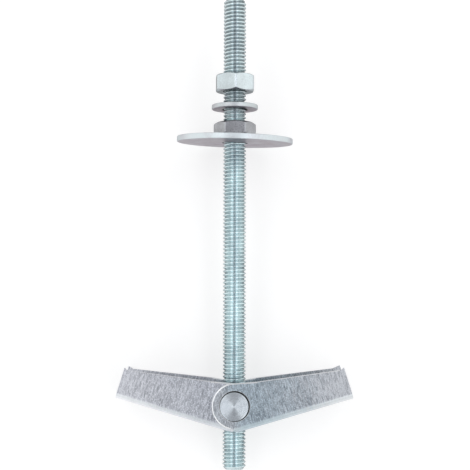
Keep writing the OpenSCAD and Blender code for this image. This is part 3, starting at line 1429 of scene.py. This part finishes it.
@dataclass
class Studio:
    """The pale floor, the soft dome and key light, and the camera.

    Lengths are in metres, apart from the lens and the sensor in millimetres. Angles are
    in degrees. A pair gives where along a direction's x, y or slant something fades in
    or out.
    """

    frame: BoltFrame
    floor_size: float = 40.0
    floor_colour: Colour = (0.51, 0.50, 0.495)
    floor_lift: float = 0.56
    overhead: float = 0.52
    horizon: float = 0.56
    low_sky: Span = (0.2, 0.85)
    overhead_tint: Colour = (0.97, 0.98, 1.05)
    horizon_tint: Colour = (0.97, 1.0, 1.0)
    strip: float = 1.08
    strip_in: Span = (0.20, 0.38)
    strip_out: Span = (0.40, 0.80)
    strip_ends: Span = (0.55, 0.85)
    side_glow: float = 0.55
    side_in: Span = (0.64, 0.9)
    side_out: Span = (0.93, 1.0)
    side_fade: float = 0.5
    right_in: Span = (-0.2, 0.2)
    right_bias: float = 0.28
    dim_side: float = 0.035
    foot_glow: float = 0.3
    foot_in: Span = (0.45, 0.85)
    key: float = 0.15
    key_spread: float = 40.0
    key_tilt: Triple = (-20.0, -34.0, 0.0)
    eye: Triple = (0.0001, -0.300, 0.0159)
    rise: float = 3.9
    roll: float = 0.13
    lens: float = 107.2
    sensor: float = 36.0
    clip: Span = (0.01, 20.0)

    def build(self) -> None:
        """Sets up the whole studio."""
        self.floor()
        self.dome()
        self.key_light()
        self.camera()
        bpy.context.scene.view_settings.view_transform = "Standard"

    def floor(self) -> None:
        """Lays the floor under the bolt, and lifts it where it is seen or reflected."""
        half = self.floor_size / 2
        mesh = bpy.data.meshes.new("floor")
        signs = ((-1, -1), (1, -1), (1, 1), (-1, 1))
        corners = [(x * half, y * half, 0.0) for x, y in signs]
        mesh.from_pydata(corners, [], [(0, 1, 2, 3)])
        material = bpy.data.materials.new("floor")
        material.use_nodes = True
        graph = Graph(material.node_tree)
        path = graph.node("ShaderNodeLightPath")
        seen = graph.out(path, "Is Camera Ray") + graph.out(path, "Is Glossy Ray")
        seen = seen + graph.out(path, "Is Transmission Ray")
        colour = (*self.floor_colour, 1.0)
        matt = graph.signal("ShaderNodeBsdfDiffuse", {"Color": colour})
        lift = graph.signal("ShaderNodeEmission", {"Strength": seen * self.floor_lift})
        both = graph.signal("ShaderNodeAddShader", {0: matt, 1: lift})
        graph.node("ShaderNodeOutputMaterial", {"Surface": both})
        mesh.materials.append(material)
        linked("floor", mesh)

    def dome(self) -> None:
        """Lights everything from a soft dome, with a long strip on each side."""
        world = bpy.data.worlds.new("studio")
        world.use_nodes = True
        bpy.context.scene.world = world
        graph = Graph(world.node_tree)
        direction = graph.out(graph.node("ShaderNodeTexCoord"), "Generated")
        x, y, _ = graph.parts(direction)
        across = abs(x + self.dim_side)
        low = x.reach(y).rises(*self.low_sky)
        strip = across.rises(*self.strip_in) * across.falls(*self.strip_out)
        strip = strip * abs(y).falls(*self.strip_ends)
        far = across.rises(*self.side_in)
        far = far * (1.0 - across.rises(*self.side_out) * self.side_fade)
        sides = strip * self.strip + far * self.side_glow
        level = self.overhead + (self.horizon - self.overhead) * low
        level = level + sides * (1.0 + x.rises(*self.right_in) * self.right_bias)
        level = level + (y * -1.0).rises(*self.foot_in) * self.foot_glow
        tint = graph.blend(low, self.overhead_tint, self.horizon_tint)
        lit = graph.signal("ShaderNodeBackground", {"Color": tint, "Strength": level})
        graph.node("ShaderNodeOutputWorld", {"Surface": lit})

    def key_light(self) -> None:
        """Adds a broad soft key from the upper left."""
        lamp = bpy.data.lights.new("key", "SUN")
        lamp.energy = self.key
        lamp.angle = math.radians(self.key_spread)
        linked("key", lamp).rotation_euler = [math.radians(a) for a in self.key_tilt]

    def camera(self) -> None:
        """Stands the camera square to the pin's face, over the toggle."""
        data = bpy.data.cameras.new("camera")
        data.lens, data.sensor_width = self.lens, self.sensor
        data.clip_start, data.clip_end = self.clip
        square = Matrix(((1, 0, 0), (0, 0, -1), (0, 1, 0)))
        lift = Matrix.Rotation(math.radians(self.rise), 3, "X")
        roll = Matrix.Rotation(math.radians(self.roll), 3, "Z")
        axes = self.frame.turn
        stand = Matrix.Translation(self.frame.pivot + axes @ Vector(self.eye))
        camera = linked("camera", data)
        camera.matrix_world = stand @ (axes @ square @ lift @ roll).to_4x4()
        bpy.context.scene.camera = camera


def parts(lie: BoltFrame) -> tuple[Part, ...]:
    """Gives the bolt's parts, in the order in which they are built."""
    return (
        ThreadedRod(lie),
        HexNut(
            lie, "upper_nut", "outer_nut", "outer_nut_body", UPPER_NUT_ZINC_LIT,
            bottom=67.318, height=3.7, turn=33.5,
        ),
        HexNut(
            lie, "lower_nut", "inner_nut", "inner_nut_body", LOWER_NUT_ZINC_SHADED,
            bottom=57.638, height=3.0, turn=1.5,
        ),
        Washer(
            lie, "small_plain_washer", "small_washer", "small_washer_body",
            SMALL_WASHER_ZINC, outside_d=10.0, hole_d=5.3, thickness=1.0,
            bottom=63.478, columns=112,
        ),
        Washer(
            lie, "wide_plain_washer", "wide_washer", "wide_washer_body",
            WIDE_WASHER_ZINC, outside_d=24.99, hole_d=5.5, thickness=1.2,
            bottom=56.2, lean=1.4, dip=2.9, columns=200,
        ),
        CrossNut(lie),
        TorsionSpring(lie),
        ToggleWing(
            lie, "left_pressed_wing", "left_wing", "left_wing_body", LEFT_SHEET_LIT,
            side=-1.0,
        ),
        ToggleWing(
            lie, "right_pressed_wing", "right_wing", "right_wing_body", RIGHT_SHEET_SHADED,
            side=1.0, near_drop=(0.26, -0.12), far_rise=(0.24, 0.3), tooth_run=1.0,
        ),
    )


def main() -> None:
    """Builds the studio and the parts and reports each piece."""
    logging.basicConfig(level=logging.INFO, format="%(name)s %(message)s")
    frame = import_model()
    lie = BoltFrame.from_joints(frame["joints"])
    Studio(lie).build()
    for part in parts(lie):
        for piece in part.build():
            LOG.info("%s: %d faces", piece.name, len(piece.data.polygons))


if __name__ == "__main__":
    main()
